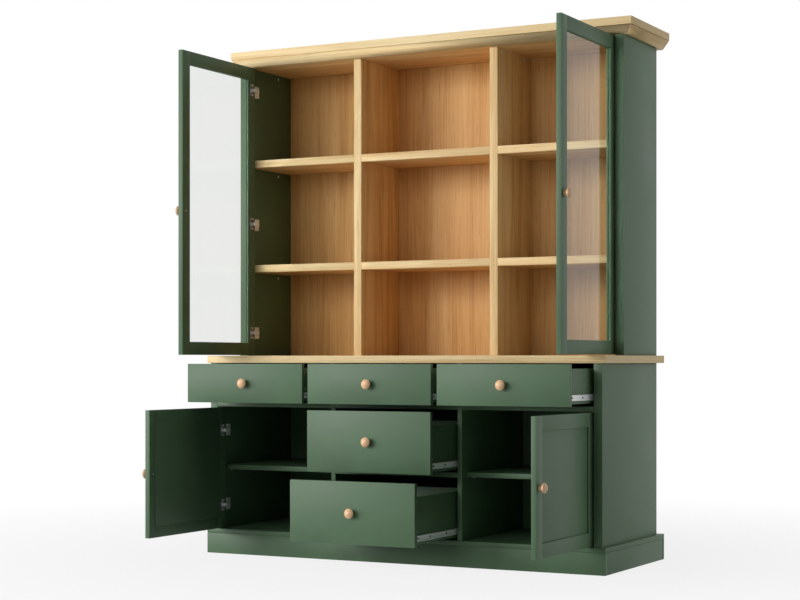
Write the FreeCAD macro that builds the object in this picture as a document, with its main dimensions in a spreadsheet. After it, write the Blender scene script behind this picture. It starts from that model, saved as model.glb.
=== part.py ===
import FreeCAD, Part
import math
import os
import re
import Sketcher

# Buffet and hutch: a painted base of drawers and cupboards under an oak counter, with a glazed
# hutch and an oak cornice on it. Millimetres, +X right, +Y back, +Z up. The origin is on the floor
# under the middle of the plinth. Doors stand open at a right angle and drawers are drawn out.

SIZES = {
    # Counter, plinth and carcass
    "counter_width": 1675,
    "counter_depth": 610,
    "counter_thickness": 28,
    "counter_height": 775,
    "plinth_height": 79,
    "plinth_thickness": 18,
    "board_thickness": 18,
    "side_thickness": 33,
    "side_inset": 13.5,
    "base_inset": 5,
    "rear_gap": 47,
    "back_thickness": 9,
    "edge_ease": 1.2,
    "front_gap": 3,
    # Shelves behind the cupboard doors
    "top_drawer_opening": 153,
    "shelf_clearance": 0.5,
    "cupboard_shelf_setback": 42,
    "shelf_pin_radius": 2.5,
    "shelf_pin_reach": 10,
    "shelf_pin_from_edge": 50,
    # Hutch and cornice
    "hutch_setback": 217,
    "hutch_height": 1164,
    "hutch_board_thickness": 33,
    "hutch_board_setback": 24,
    "hutch_centre_bay": 554,
    "hutch_shelf_thickness": 29,
    "lower_shelf_height": 1142,
    "upper_shelf_height": 1564,
    "cornice_overhang": 20.5,
    "cornice_setback": 200,
    "cornice_height": 61,
    "cornice_band": 28.6,
    "cornice_slope_run": 26,
    "cornice_foot": 18,
    # Doors and fronts
    "door_thickness": 19,
    "frame_width": 50,
    "recess_depth": 6,
    "glazing_lip": 8,
    "rebate": 9,
    "glass_thickness": 4,
    "panel_clearance": 0.3,
    # Cup hinges
    "pivot_from_edge": 11,
    "pivot_from_face": 8,
    "hinge_from_end": 90,
    "middle_hinge_drop": 50,
    "cup_radius": 17.5,
    "cup_clearance": 0.15,
    "cup_from_edge": 4,
    "cup_depth": 15,
    "cup_wall": 1,
    "flange_thickness": 1.2,
    "flange_width": 24,
    "flange_height": 46,
    "pin_radius": 1.5,
    "pin_clearance": 0.08,
    "eye_radius": 2.7,
    "arm_thickness": 2.5,
    "arm_height": 12,
    "arm_offset": 15.5,
    "arm_reach": 36,
    "plate_thickness": 3,
    "plate_length": 44,
    "plate_height": 46,
    # Drawers and their runners
    "drawer_side_thickness": 12,
    "drawer_bottom_thickness": 5,
    "drawer_bottom_rise": 12,
    "groove_depth": 6,
    "groove_clearance": 0.2,
    "box_rise": 8,
    "shallow_box_drop": 16,
    "deep_box_drop": 48,
    "box_rear_room": 30,
    "runner_space": 12.7,
    "runner_height": 24,
    "runner_rise": 18,
    "runner_depth": 10,
    "runner_wall": 1.5,
    "runner_clearance": 0.4,
    "runner_front_room": 4,
    "top_pull": 212,
    "middle_pull": 215,
    "bottom_pull": 336,
    # Turned knobs
    "knob_radius": 18,
    "knob_foot_radius": 9.5,
    "knob_neck_radius": 7.5,
    "knob_neck_height": 7,
    "knob_rim_height": 19,
    "knob_height": 28,
    "knob_from_edge": 26,
    "upper_knob_drop": 30,
}

RIGHT = 1
LEFT = -1
SIDES = {"left": LEFT, "right": RIGHT}

# Levels and lines that several pieces share, as expressions over the sizes above.
HALF_WIDTH = "(counter_width / 2)"
FRONT = "(-counter_depth / 2)"
REAR = "(counter_depth / 2)"
SIDE_OUTER = f"({HALF_WIDTH} - side_inset)"
SIDE_INNER = f"({SIDE_OUTER} - side_thickness)"
BASE_FACE = f"({FRONT} + base_inset)"
CARCASS_REAR = f"({REAR} - rear_gap)"
BACK_FACE = f"({CARCASS_REAR} - back_thickness)"
FLOOR_TOP = "(plinth_height + board_thickness)"
COUNTER_UNDER = "(counter_height - counter_thickness)"
BAY = f"((2 * {SIDE_INNER} - 2 * board_thickness) / 3)"
DIVIDER_INNER = f"({BAY} / 2)"
DIVIDER_OUTER = f"({DIVIDER_INNER} + board_thickness)"
DECK_TOP = f"({COUNTER_UNDER} - top_drawer_opening)"
DECK_UNDER = f"({DECK_TOP} - board_thickness)"
RAIL_UNDER = f"(({FLOOR_TOP} + {DECK_UNDER} - board_thickness) / 2)"
RAIL_TOP = f"({RAIL_UNDER} + board_thickness)"
HUTCH_FACE = f"({FRONT} + hutch_setback)"
HUTCH_SHELF_FACE = f"({HUTCH_FACE} + hutch_board_setback)"
HUTCH_DIVIDER_INNER = "(hutch_centre_bay / 2)"
HUTCH_DIVIDER_OUTER = f"({HUTCH_DIVIDER_INNER} + hutch_board_thickness)"
ROOF_UNDER = "(counter_height + hutch_height)"
ROOF_TOP = f"({ROOF_UNDER} + board_thickness)"
CORNICE_TOP = f"({ROOF_UNDER} + cornice_height)"
CORNICE_OUTER = f"({HALF_WIDTH} + cornice_overhang)"
CORNICE_FRONT = f"({FRONT} + cornice_setback)"
CORNICE_DEPTH = "(cornice_slope_run + cornice_foot)"
CORNICE_INNER = f"({CORNICE_OUTER} - {CORNICE_DEPTH})"
CORNICE_BACK_OF_FRONT = f"({CORNICE_FRONT} + {CORNICE_DEPTH})"
DOOR_WIDTH = f"({BAY} - 2 * front_gap)"
PIVOT_X = f"({SIDE_INNER} - front_gap - pivot_from_edge)"
DOOR_OUTER_X = f"({PIVOT_X} + pivot_from_face)"
DOOR_INNER_X = f"({DOOR_OUTER_X} - door_thickness)"

TURNS = {
    "+X": FreeCAD.Rotation(FreeCAD.Vector(0, 1, 0), 90),
    "-X": FreeCAD.Rotation(FreeCAD.Vector(0, 1, 0), -90),
    "+Z": FreeCAD.Rotation(),
}
KNOB_TURNS = {
    "front": FreeCAD.Rotation(FreeCAD.Vector(0, 0, 1), 180),
    "right": FreeCAD.Rotation(FreeCAD.Vector(0, 0, 1), -90),
    "left": FreeCAD.Rotation(FreeCAD.Vector(0, 0, 1), 90),
}

doc = FreeCAD.newDocument("buffet_and_hutch")
sheet = doc.addObject("Spreadsheet::Sheet", "dims")
for row, (alias, size) in enumerate(SIZES.items(), start=1):
    sheet.set(f"A{row}", alias)
    sheet.set(f"B{row}", str(size))
    sheet.setAlias(f"B{row}", alias)
doc.recompute()

pieces = []


def qualified(expr):
    """Point every size named in an expression at the sheet."""
    return re.sub(r"[a-z_]+", lambda word: f"dims.{word[0]}" if word[0] in SIZES else word[0], expr)


def bind(obj, settings):
    """Bind an object's properties to expressions over the sizes."""
    for path, expr in settings.items():
        obj.setExpression(path, qualified(expr))


def place(obj, x, y, z, turn=FreeCAD.Rotation()):
    """Stand an object at a bound place with a fixed turn."""
    obj.Placement = FreeCAD.Placement(FreeCAD.Vector(), turn)
    bind(obj, {"Placement.Base.x": x, "Placement.Base.y": y, "Placement.Base.z": z})


def piece(label, *solids):
    """Finish a sub-part; several solids of one kind share a compound."""
    part = solids[0]
    if len(solids) > 1:
        part = doc.addObject("Part::Compound", label)
        part.Links = list(solids)
    part.Label = label
    pieces.append(part)
    return part


def handed(hand, low, high):
    """Limits along X on the right, or the same ones mirrored to the left."""
    if hand == RIGHT:
        return (low, high)
    return (f"-({high})", f"-({low})")


def box(name, xs, ys, zs):
    """Square-edged block between a pair of limits on each axis."""
    block = doc.addObject("Part::Box", name)
    place(block, xs[0], ys[0], zs[0])
    for side, (low, high) in zip(("Length", "Width", "Height"), (xs, ys, zs)):
        bind(block, {side: f"({high}) - ({low})"})
    return block


def rod(name, start, direction, radius, length):
    """Cylinder from a starting point along an axis."""
    cylinder = doc.addObject("Part::Cylinder", name)
    place(cylinder, *start, TURNS[direction])
    bind(cylinder, {"Radius": radius, "Height": length})
    return cylinder


def cut(name, base, *tools):
    """Solid with other solids taken out of it."""
    result = doc.addObject("Part::Cut", name)
    result.Base = base
    result.Tool = tools[0] if len(tools) == 1 else fuse(f"{name}_tools", *tools)
    return result


def fuse(name, *solids):
    """Several solids joined into one."""
    result = doc.addObject("Part::MultiFuse", name)
    result.Shapes = list(solids)
    return result


def common(name, first, second):
    """The space that two solids share."""
    result = doc.addObject("Part::Common", name)
    result.Base = first
    result.Tool = second
    return result


def attach(body, plane):
    """New sketch on one of a body's own origin planes."""
    sketch = body.newObject("Sketcher::SketchObject", f"{body.Name}_outline")
    support = next(item for item in body.Origin.OriginFeatures if item.Role == plane)
    sketch.AttachmentSupport = [(support, "")]
    sketch.MapMode = "FlatFace"
    return sketch


def fix_point(sketch, geometry, point, drawn, x, y):
    """Bind a drawn point of a sketch to its place; None leaves a direction to other constraints."""
    for kind, start, expr in (("DistanceX", drawn.x, x), ("DistanceY", drawn.y, y)):
        if expr is not None:
            index = sketch.addConstraint(Sketcher.Constraint(kind, -1, 1, geometry, point, start))
            bind(sketch, {f"Constraints[{index}]": expr})


def draw_polygon(sketch, outline):
    """Closed outline of straight edges; its corners start on a ring and are bound to their places."""
    count = len(outline)
    corners = [FreeCAD.Vector(math.cos(2 * math.pi * index / count), math.sin(2 * math.pi * index / count), 0)
               for index in range(count)]
    for index, corner in enumerate(corners):
        sketch.addGeometry(Part.LineSegment(corner, corners[(index + 1) % count]), False)
    for index, (x, y) in enumerate(outline):
        sketch.addConstraint(Sketcher.Constraint("Coincident", index, 2, (index + 1) % count, 1))
        fix_point(sketch, index, 1, corners[index], x, y)


def rectangle(across, up):
    """Corners of a rectangle between two pairs of limits."""
    return [(across[0], up[0]), (across[1], up[0]), (across[1], up[1]), (across[0], up[1])]


def pad(name, plane, outline, low, high, eased=False):
    """Outline on an origin plane, padded between two levels, with its edges eased if asked."""
    body = doc.addObject("PartDesign::Body", name)
    sketch = attach(body, plane)
    draw_polygon(sketch, outline)
    # The XZ plane faces forward, so its levels run the other way.
    start = f"-({high})" if plane == "XZ_Plane" else low
    bind(sketch, {"AttachmentOffset.Base.z": start})
    solid = body.newObject("PartDesign::Pad", f"{name}_pad")
    solid.Profile = sketch
    bind(solid, {"Length": f"({high}) - ({low})"})
    sketch.Visibility = False
    doc.recompute()
    if eased:
        chamfer = body.newObject("PartDesign::Chamfer", f"{name}_ease")
        chamfer.Base = (solid, ["Face1"])
        chamfer.UseAllEdges = True
        bind(chamfer, {"Size": "edge_ease"})
        body.Tip = chamfer
    return body


def eased_board(name, xs, ys, zs):
    """Board with its edges eased for paint or oil."""
    return pad(name, "XY_Plane", rectangle(xs, ys), *zs, eased=True)


def knob(label, direction, x, y, z):
    """Turned knob: a foot, a neck, a rounded underside and a domed face."""
    body = doc.addObject("PartDesign::Body", label)
    sketch = attach(body, "XY_Plane")
    neck, radius = SIZES["knob_neck_radius"], SIZES["knob_radius"]
    rim, top = SIZES["knob_rim_height"], SIZES["knob_height"]
    centre, foot_edge, waist, under, rim_edge, crown = [FreeCAD.Vector(*point, 0) for point in (
        (0, 0), (SIZES["knob_foot_radius"], 0), (neck, SIZES["knob_neck_height"]),
        (neck, rim - radius + neck), (radius, rim), (0, top))]
    dome_radius = (radius ** 2 + (top - rim) ** 2) / (2 * (top - rim))
    dome_centre = FreeCAD.Vector(0, top - dome_radius, 0)
    upright = FreeCAD.Vector(0, 0, 1)
    round_circle = Part.Circle(FreeCAD.Vector(neck, rim, 0), upright, radius - neck)
    dome_circle = Part.Circle(dome_centre, upright, dome_radius)
    rim_angle = math.atan2(rim - dome_centre.y, radius)
    sketch.addGeometry([
        Part.LineSegment(centre, foot_edge), Part.LineSegment(foot_edge, waist),
        Part.LineSegment(waist, under), Part.ArcOfCircle(round_circle, -math.pi / 2, 0),
        Part.ArcOfCircle(dome_circle, rim_angle, math.pi / 2), Part.LineSegment(crown, centre)], False)
    sketch.addConstraint([Sketcher.Constraint("Coincident", edge, 2, (edge + 1) % 6, 1) for edge in range(6)])
    sketch.addConstraint([
        Sketcher.Constraint("Coincident", 0, 1, -1, 1), Sketcher.Constraint("Horizontal", 0),
        Sketcher.Constraint("Vertical", 5), Sketcher.Constraint("Vertical", 2),
        Sketcher.Constraint("PointOnObject", 4, 3, -2), Sketcher.Constraint("Vertical", 3, 3, 2, 2),
        Sketcher.Constraint("Horizontal", 3, 3, 3, 2)])
    fix_point(sketch, 0, 2, foot_edge, "knob_foot_radius", None)
    fix_point(sketch, 1, 2, waist, "knob_neck_radius", "knob_neck_height")
    fix_point(sketch, 3, 2, rim_edge, "knob_radius", "knob_rim_height")
    fix_point(sketch, 4, 2, crown, None, "knob_height")
    turned = body.newObject("PartDesign::Revolution", f"{label}_turned")
    turned.Profile = sketch
    turned.ReferenceAxis = (sketch, ["V_Axis"])
    turned.Angle = 360
    sketch.Visibility = False
    place(body, x, y, z, KNOB_TURNS[direction])
    return piece(label, body)


def plinth():
    """Skirt boards on the floor and the base board that they carry."""
    rear_inner = f"{REAR} - plinth_thickness"
    front_inner = f"{FRONT} + plinth_thickness"
    skirt = ("0", "plinth_height")
    full = (f"-{HALF_WIDTH}", HALF_WIDTH)
    boards = [box("plinth_front_board", full, (FRONT, front_inner), skirt),
              box("plinth_rear_board", full, (rear_inner, REAR), skirt)]
    middles = {
        "left": f"-{HALF_WIDTH} + plinth_thickness / 2",
        "brace_left": f"-{HALF_WIDTH} / 2",
        "brace_middle": "0",
        "brace_right": f"{HALF_WIDTH} / 2",
        "right": f"{HALF_WIDTH} - plinth_thickness / 2",
    }
    for name, middle in middles.items():
        across = (f"{middle} - plinth_thickness / 2", f"{middle} + plinth_thickness / 2")
        boards.append(box(f"plinth_{name}_board", across, (front_inner, rear_inner), skirt))
    piece("plinth_boards", *boards)
    piece("base_board", eased_board("base_board", full, (FRONT, REAR), ("plinth_height", FLOOR_TOP)))


def base_carcass():
    """Sides, dividers, decks, rail, shelves and back of the base, and the counter on it."""
    upright = (FLOOR_TOP, COUNTER_UNDER)
    depth = (BASE_FACE, BACK_FACE)
    dividers = []
    shelves = []
    pins = []
    for side, hand in SIDES.items():
        across = handed(hand, SIDE_INNER, SIDE_OUTER)
        label = f"base_side_{side}"
        piece(label, eased_board(label, across, (BASE_FACE, CARCASS_REAR), upright))
        across = handed(hand, DIVIDER_INNER, DIVIDER_OUTER)
        dividers.append(box(f"base_divider_{side}", across, depth, upright))
        shelf_front = f"{BASE_FACE} + cupboard_shelf_setback"
        shelves.append(eased_board(
            f"cupboard_shelf_{side}",
            handed(hand, f"{DIVIDER_OUTER} + shelf_clearance", f"{SIDE_INNER} - shelf_clearance"),
            (shelf_front, f"{BACK_FACE} - shelf_clearance"), (RAIL_UNDER, RAIL_TOP)))
        for end, y in (("front", f"{shelf_front} + shelf_pin_from_edge"),
                       ("rear", f"{BACK_FACE} - shelf_pin_from_edge")):
            for wall, x in (("inner", DIVIDER_OUTER), ("outer", f"({SIDE_INNER} - shelf_pin_reach)")):
                start = x if hand == RIGHT else f"-{x}"
                pins.append(rod(
                    f"shelf_pin_{side}_{end}_{wall}",
                    (start, y, f"{RAIL_UNDER} - shelf_pin_radius"),
                    "+X" if hand == RIGHT else "-X", "shelf_pin_radius", "shelf_pin_reach"))
    piece("base_dividers", *dividers)
    piece("cupboard_shelves", *shelves)
    piece("shelf_pins", *pins)
    bays = {
        "left": (f"-{SIDE_INNER}", f"-{DIVIDER_OUTER}"),
        "centre": (f"-{DIVIDER_INNER}", DIVIDER_INNER),
        "right": (DIVIDER_OUTER, SIDE_INNER),
    }
    decks = [box(f"drawer_deck_{bay}", across, depth, (DECK_UNDER, DECK_TOP))
             for bay, across in bays.items()]
    piece("drawer_decks", *decks)
    piece("centre_rail", box("centre_rail", bays["centre"], depth, (RAIL_UNDER, RAIL_TOP)))
    back_across = (f"-{SIDE_INNER}", SIDE_INNER)
    piece("base_back", box("base_back", back_across, (BACK_FACE, CARCASS_REAR), upright))
    full = (f"-{HALF_WIDTH}", HALF_WIDTH)
    piece("countertop", eased_board("countertop", full, (FRONT, REAR), (COUNTER_UNDER, "counter_height")))


def hutch_carcass():
    """Sides, dividers, shelves, back and roof of the hutch."""
    upright = ("counter_height", ROOF_UNDER)
    depth = (HUTCH_SHELF_FACE, BACK_FACE)
    dividers = []
    for side, hand in SIDES.items():
        label = f"hutch_side_{side}"
        across = handed(hand, SIDE_INNER, SIDE_OUTER)
        piece(label, eased_board(label, across, (HUTCH_FACE, CARCASS_REAR), upright))
        across = handed(hand, HUTCH_DIVIDER_INNER, HUTCH_DIVIDER_OUTER)
        dividers.append(eased_board(f"hutch_divider_{side}", across, depth, upright))
    piece("hutch_dividers", *dividers)
    bays = {
        "left": (f"-{SIDE_INNER}", f"-{HUTCH_DIVIDER_OUTER}"),
        "centre": (f"-{HUTCH_DIVIDER_INNER}", HUTCH_DIVIDER_INNER),
        "right": (HUTCH_DIVIDER_OUTER, SIDE_INNER),
    }
    shelves = []
    for row in ("lower", "upper"):
        level = f"{row}_shelf_height"
        for bay, across in bays.items():
            shelves.append(eased_board(
                f"hutch_{row}_shelf_{bay}", across, depth,
                (f"{level} - hutch_shelf_thickness", level)))
    piece("hutch_shelves", *shelves)
    back_across = (f"-{SIDE_INNER}", SIDE_INNER)
    piece("hutch_back", box("hutch_back", back_across, (BACK_FACE, CARCASS_REAR), upright))
    roof_across = (f"-{CORNICE_INNER}", CORNICE_INNER)
    roof_depth = (CORNICE_BACK_OF_FRONT, CARCASS_REAR)
    piece("hutch_roof", box("hutch_roof", roof_across, roof_depth, (ROOF_UNDER, ROOF_TOP)))


def cornice():
    """Mitred mouldings with an upright band over a sloped face, a rear board and a cap."""
    slope_top = f"{CORNICE_TOP} - cornice_band"

    def profile(outer, sign):
        """Section of the moulding from its outer line inwards."""
        foot = f"{outer} {sign} cornice_slope_run"
        inner = f"{outer} {sign} {CORNICE_DEPTH}"
        return [(outer, CORNICE_TOP), (outer, slope_top), (foot, ROOF_UNDER),
                (inner, ROOF_UNDER), (inner, CORNICE_TOP)]

    full = (f"-{CORNICE_OUTER}", CORNICE_OUTER)
    levels = (ROOF_UNDER, CORNICE_TOP)
    front_plan = [
        (full[0], CORNICE_FRONT), (full[1], CORNICE_FRONT),
        (CORNICE_INNER, CORNICE_BACK_OF_FRONT), (f"-{CORNICE_INNER}", CORNICE_BACK_OF_FRONT),
    ]
    mouldings = [common(
        "cornice_front_moulding",
        pad("cornice_front_run", "YZ_Plane", profile(CORNICE_FRONT, "+"), *full),
        pad("cornice_front_mitres", "XY_Plane", front_plan, *levels))]
    for side, hand in SIDES.items():
        mark = "" if hand == RIGHT else "-"
        sign = "-" if hand == RIGHT else "+"
        end_plan = [
            (f"{mark}{CORNICE_OUTER}", CORNICE_FRONT), (f"{mark}{CORNICE_OUTER}", REAR),
            (f"{mark}{CORNICE_INNER}", REAR), (f"{mark}{CORNICE_INNER}", CORNICE_BACK_OF_FRONT),
        ]
        mouldings.append(common(
            f"cornice_{side}_moulding",
            pad(f"cornice_{side}_run", "XZ_Plane", profile(f"{mark}{CORNICE_OUTER}", sign),
                CORNICE_FRONT, REAR),
            pad(f"cornice_{side}_mitre", "XY_Plane", end_plan, *levels)))
    piece("cornice_mouldings", *mouldings)
    inside = (f"-{CORNICE_INNER}", CORNICE_INNER)
    cap_under = f"{CORNICE_TOP} - board_thickness"
    rear_board = (f"{REAR} - board_thickness", REAR)
    piece("cornice_rear", box("cornice_rear", inside, rear_board, (ROOF_UNDER, cap_under)))
    piece("cornice_cap", box("cornice_cap", inside, (CORNICE_BACK_OF_FRONT, REAR), (cap_under, CORNICE_TOP)))


def hinge_lines(face):
    """Pivot line, hinge edge and free edge of a door that stands open from a face."""
    pivot = f"({face} + pivot_from_face)"
    hinge_edge = f"({pivot} + pivot_from_edge)"
    return pivot, hinge_edge, f"({hinge_edge} - {DOOR_WIDTH})"


def cup_bores(door, hand, hinge_edge, heights):
    """Cutters for the round hinge pockets on a door's inner face."""
    middle = f"{hinge_edge} - cup_from_edge - cup_radius"
    start = DOOR_INNER_X if hand == RIGHT else f"-{DOOR_INNER_X}"
    return [rod(f"{door}_bore_{number}", (start, middle, height), "+X" if hand == RIGHT else "-X",
                "cup_radius + cup_clearance", "cup_depth")
            for number, height in enumerate(heights, start=1)]


def hinge_cup(name, hand, hinge_edge, pivot, height):
    """Pressed cup with its flange on the door and the pivot pin across it."""
    mark = "" if hand == RIGHT else "-"
    inward = "+X" if hand == RIGHT else "-X"
    middle = f"({hinge_edge} - cup_from_edge - cup_radius)"
    mouth = f"({DOOR_INNER_X} - flange_thickness)"
    shell = rod(f"{name}_shell", (f"{mark}{DOOR_INNER_X}", middle, height), inward,
                "cup_radius", "cup_depth")
    flange = box(f"{name}_flange", handed(hand, mouth, DOOR_INNER_X),
                 (f"{middle} - flange_width / 2", f"{middle} + flange_width / 2"),
                 (f"{height} - flange_height / 2", f"{height} + flange_height / 2"))
    hollow = rod(f"{name}_hollow", (f"{mark}{mouth}", middle, height), inward,
                 "cup_radius - cup_wall", "cup_depth + flange_thickness - cup_wall")
    pressing = cut(f"{name}_pressing", fuse(f"{name}_blank", shell, flange), hollow)
    offset = "(cup_from_edge + cup_radius - pivot_from_edge)"
    half_pin = f"sqrt((cup_radius - cup_wall / 2) ^ 2 - {offset} ^ 2)"
    pin = rod(f"{name}_pin", (f"{mark}{PIVOT_X}", pivot, f"{height} - {half_pin}"), "+Z",
              "pin_radius", f"2 * {half_pin}")
    return fuse(name, pressing, pin)


def hinge_arm(name, hand, pivot, height):
    """Cranked arm from the pin's eye round the door's edge to a plate on the side."""
    half = "arm_thickness / 2"
    tall = (f"{height} - arm_height / 2", f"{height} + arm_height / 2")
    elbow = f"({PIVOT_X} - arm_offset - {half})"
    crank = f"({pivot} + arm_reach)"
    mark = "" if hand == RIGHT else "-"
    out = box(f"{name}_out", handed(hand, elbow, PIVOT_X),
              (f"{pivot} - {half}", f"{pivot} + {half}"), tall)
    back = box(f"{name}_back", handed(hand, elbow, f"{elbow} + arm_thickness"),
               (f"{pivot} - {half}", crank), tall)
    across = box(f"{name}_across", handed(hand, elbow, SIDE_INNER),
                 (f"{crank} - arm_thickness", crank), tall)
    plate = box(f"{name}_plate", handed(hand, f"{SIDE_INNER} - plate_thickness", SIDE_INNER),
                (f"{crank} - arm_thickness", f"{crank} - arm_thickness + plate_length"),
                (f"{height} - plate_height / 2", f"{height} + plate_height / 2"))
    axis_start = (f"{mark}{PIVOT_X}", pivot, tall[0])
    eye = rod(f"{name}_eye", axis_start, "+Z", "eye_radius", "arm_height")
    hole = rod(f"{name}_hole", axis_start, "+Z", "pin_radius + pin_clearance", "arm_height")
    return cut(name, fuse(f"{name}_blank", out, back, across, plate, eye), hole)


def hang(door, hand, face, heights, arms):
    """Cups on a door and the cabinet's arms that carry it."""
    pivot, hinge_edge, _ = hinge_lines(face)
    cups = []
    for number, height in enumerate(heights, start=1):
        cups.append(hinge_cup(f"{door}_cup_{number}", hand, hinge_edge, pivot, height))
        arms.append(hinge_arm(f"{door}_arm_{number}", hand, pivot, height))
    piece(f"{door}_hinge_cups", *cups)


def door_frame(door, hand, edges, levels, lip, heights):
    """Rebated stiles and rails, the hinge stile bored for its cups.

    Returns the limits of the sight opening and of the rebate round it, along Y and along Z.
    """
    free_edge, hinge_edge = edges
    low, high = levels
    sight_y = (f"({free_edge} + frame_width)", f"({hinge_edge} - frame_width)")
    sight_z = (f"({low} + frame_width)", f"({high} - frame_width)")
    rebate_y = (f"({sight_y[0]} - rebate)", f"({sight_y[1]} + rebate)")
    rebate_z = (f"({sight_z[0]} - rebate)", f"({sight_z[1]} + rebate)")
    face_x = handed(hand, lip, DOOR_OUTER_X)
    back_x = handed(hand, DOOR_INNER_X, lip)

    def member(name, face_y, face_z, back_y, back_z):
        """Frame member whose face laps over the edge of what it holds."""
        return fuse(f"{door}_{name}", box(f"{door}_{name}_face", face_x, face_y, face_z),
                    box(f"{door}_{name}_back", back_x, back_y, back_z))

    hinge_stile = member("hinge_stile_blank", (sight_y[1], hinge_edge), levels,
                         (rebate_y[1], hinge_edge), levels)
    bored_stile = cut(f"{door}_hinge_stile", hinge_stile, *cup_bores(door, hand, hinge_edge, heights))
    free_stile = member("free_stile", (free_edge, sight_y[0]), levels, (free_edge, rebate_y[0]), levels)
    bottom_rail = member("bottom_rail", sight_y, (low, sight_z[0]), rebate_y, (low, rebate_z[0]))
    top_rail = member("top_rail", sight_y, (sight_z[1], high), rebate_y, (rebate_z[1], high))
    piece(f"{door}_frame", bored_stile, free_stile, bottom_rail, top_rail)
    return sight_y, sight_z, rebate_y, rebate_z


def inside(limits, clearance):
    """Limits drawn in by a clearance at both ends."""
    return (f"{limits[0]} + {clearance}", f"{limits[1]} - {clearance}")


def glazed_door(side, hand, arms):
    """Hutch door: a frame, a pane, and beads that hold the pane."""
    door = f"upper_{side}_door"
    _, hinge_edge, free_edge = hinge_lines(HUTCH_FACE)
    low = "(counter_height + front_gap)"
    high = f"({ROOF_UNDER} - front_gap)"
    middle = f"(({low} + {high}) / 2)"
    heights = [f"({low} + hinge_from_end)", f"({middle} - middle_hinge_drop)", f"({high} - hinge_from_end)"]
    lip = f"({DOOR_OUTER_X} - glazing_lip)"
    pane_back = f"({lip} - glass_thickness)"
    sight_y, sight_z, rebate_y, rebate_z = door_frame(
        door, hand, (free_edge, hinge_edge), (low, high), lip, heights)
    piece(f"{door}_glass", box(f"{door}_glass", handed(hand, pane_back, lip),
                               inside(rebate_y, "panel_clearance"), inside(rebate_z, "panel_clearance")))
    bead_x = handed(hand, DOOR_INNER_X, pane_back)
    beads = {
        "free": ((rebate_y[0], sight_y[0]), rebate_z),
        "hinge": ((sight_y[1], rebate_y[1]), rebate_z),
        "bottom": (sight_y, (rebate_z[0], sight_z[0])),
        "top": (sight_y, (sight_z[1], rebate_z[1])),
    }
    piece(f"{door}_beads", *[box(f"{door}_{name}_bead", bead_x, *limits) for name, limits in beads.items()])
    mark = "" if hand == RIGHT else "-"
    knob(f"{door}_knob", side, f"{mark}{DOOR_OUTER_X}", f"{free_edge} + knob_from_edge",
         f"{middle} - upper_knob_drop")
    hang(door, hand, HUTCH_FACE, heights, arms)


def cupboard_door(side, hand, arms):
    """Base door: a frame round a panel that is recessed in front and flush behind."""
    door = f"lower_{side}_door"
    _, hinge_edge, free_edge = hinge_lines(BASE_FACE)
    low = f"({FLOOR_TOP} + front_gap)"
    high = f"({DECK_UNDER} - front_gap)"
    heights = [f"({low} + hinge_from_end)", f"({high} - hinge_from_end)"]
    lip = f"({DOOR_OUTER_X} - recess_depth)"
    _, _, rebate_y, rebate_z = door_frame(door, hand, (free_edge, hinge_edge), (low, high), lip, heights)
    piece(f"{door}_panel", box(f"{door}_panel", handed(hand, DOOR_INNER_X, lip),
                               inside(rebate_y, "panel_clearance"), inside(rebate_z, "panel_clearance")))
    mark = "" if hand == RIGHT else "-"
    knob(f"{door}_knob", side, f"{mark}{DOOR_OUTER_X}", f"{free_edge} + knob_from_edge",
         f"({low} + {high}) / 2")
    hang(door, hand, BASE_FACE, heights, arms)


def channel(name, hand, xs, ys, zs, opens_inward):
    """Pressed runner section: a web with a flange along its top and bottom."""
    low, high = xs
    hollow = (low, f"{high} - runner_wall") if opens_inward else (f"{low} + runner_wall", high)
    web_up = (f"{zs[0]} + runner_wall", f"{zs[1]} - runner_wall")
    return cut(name, box(f"{name}_blank", handed(hand, low, high), ys, zs),
               box(f"{name}_hollow", handed(hand, *hollow), ys, web_up))


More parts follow.
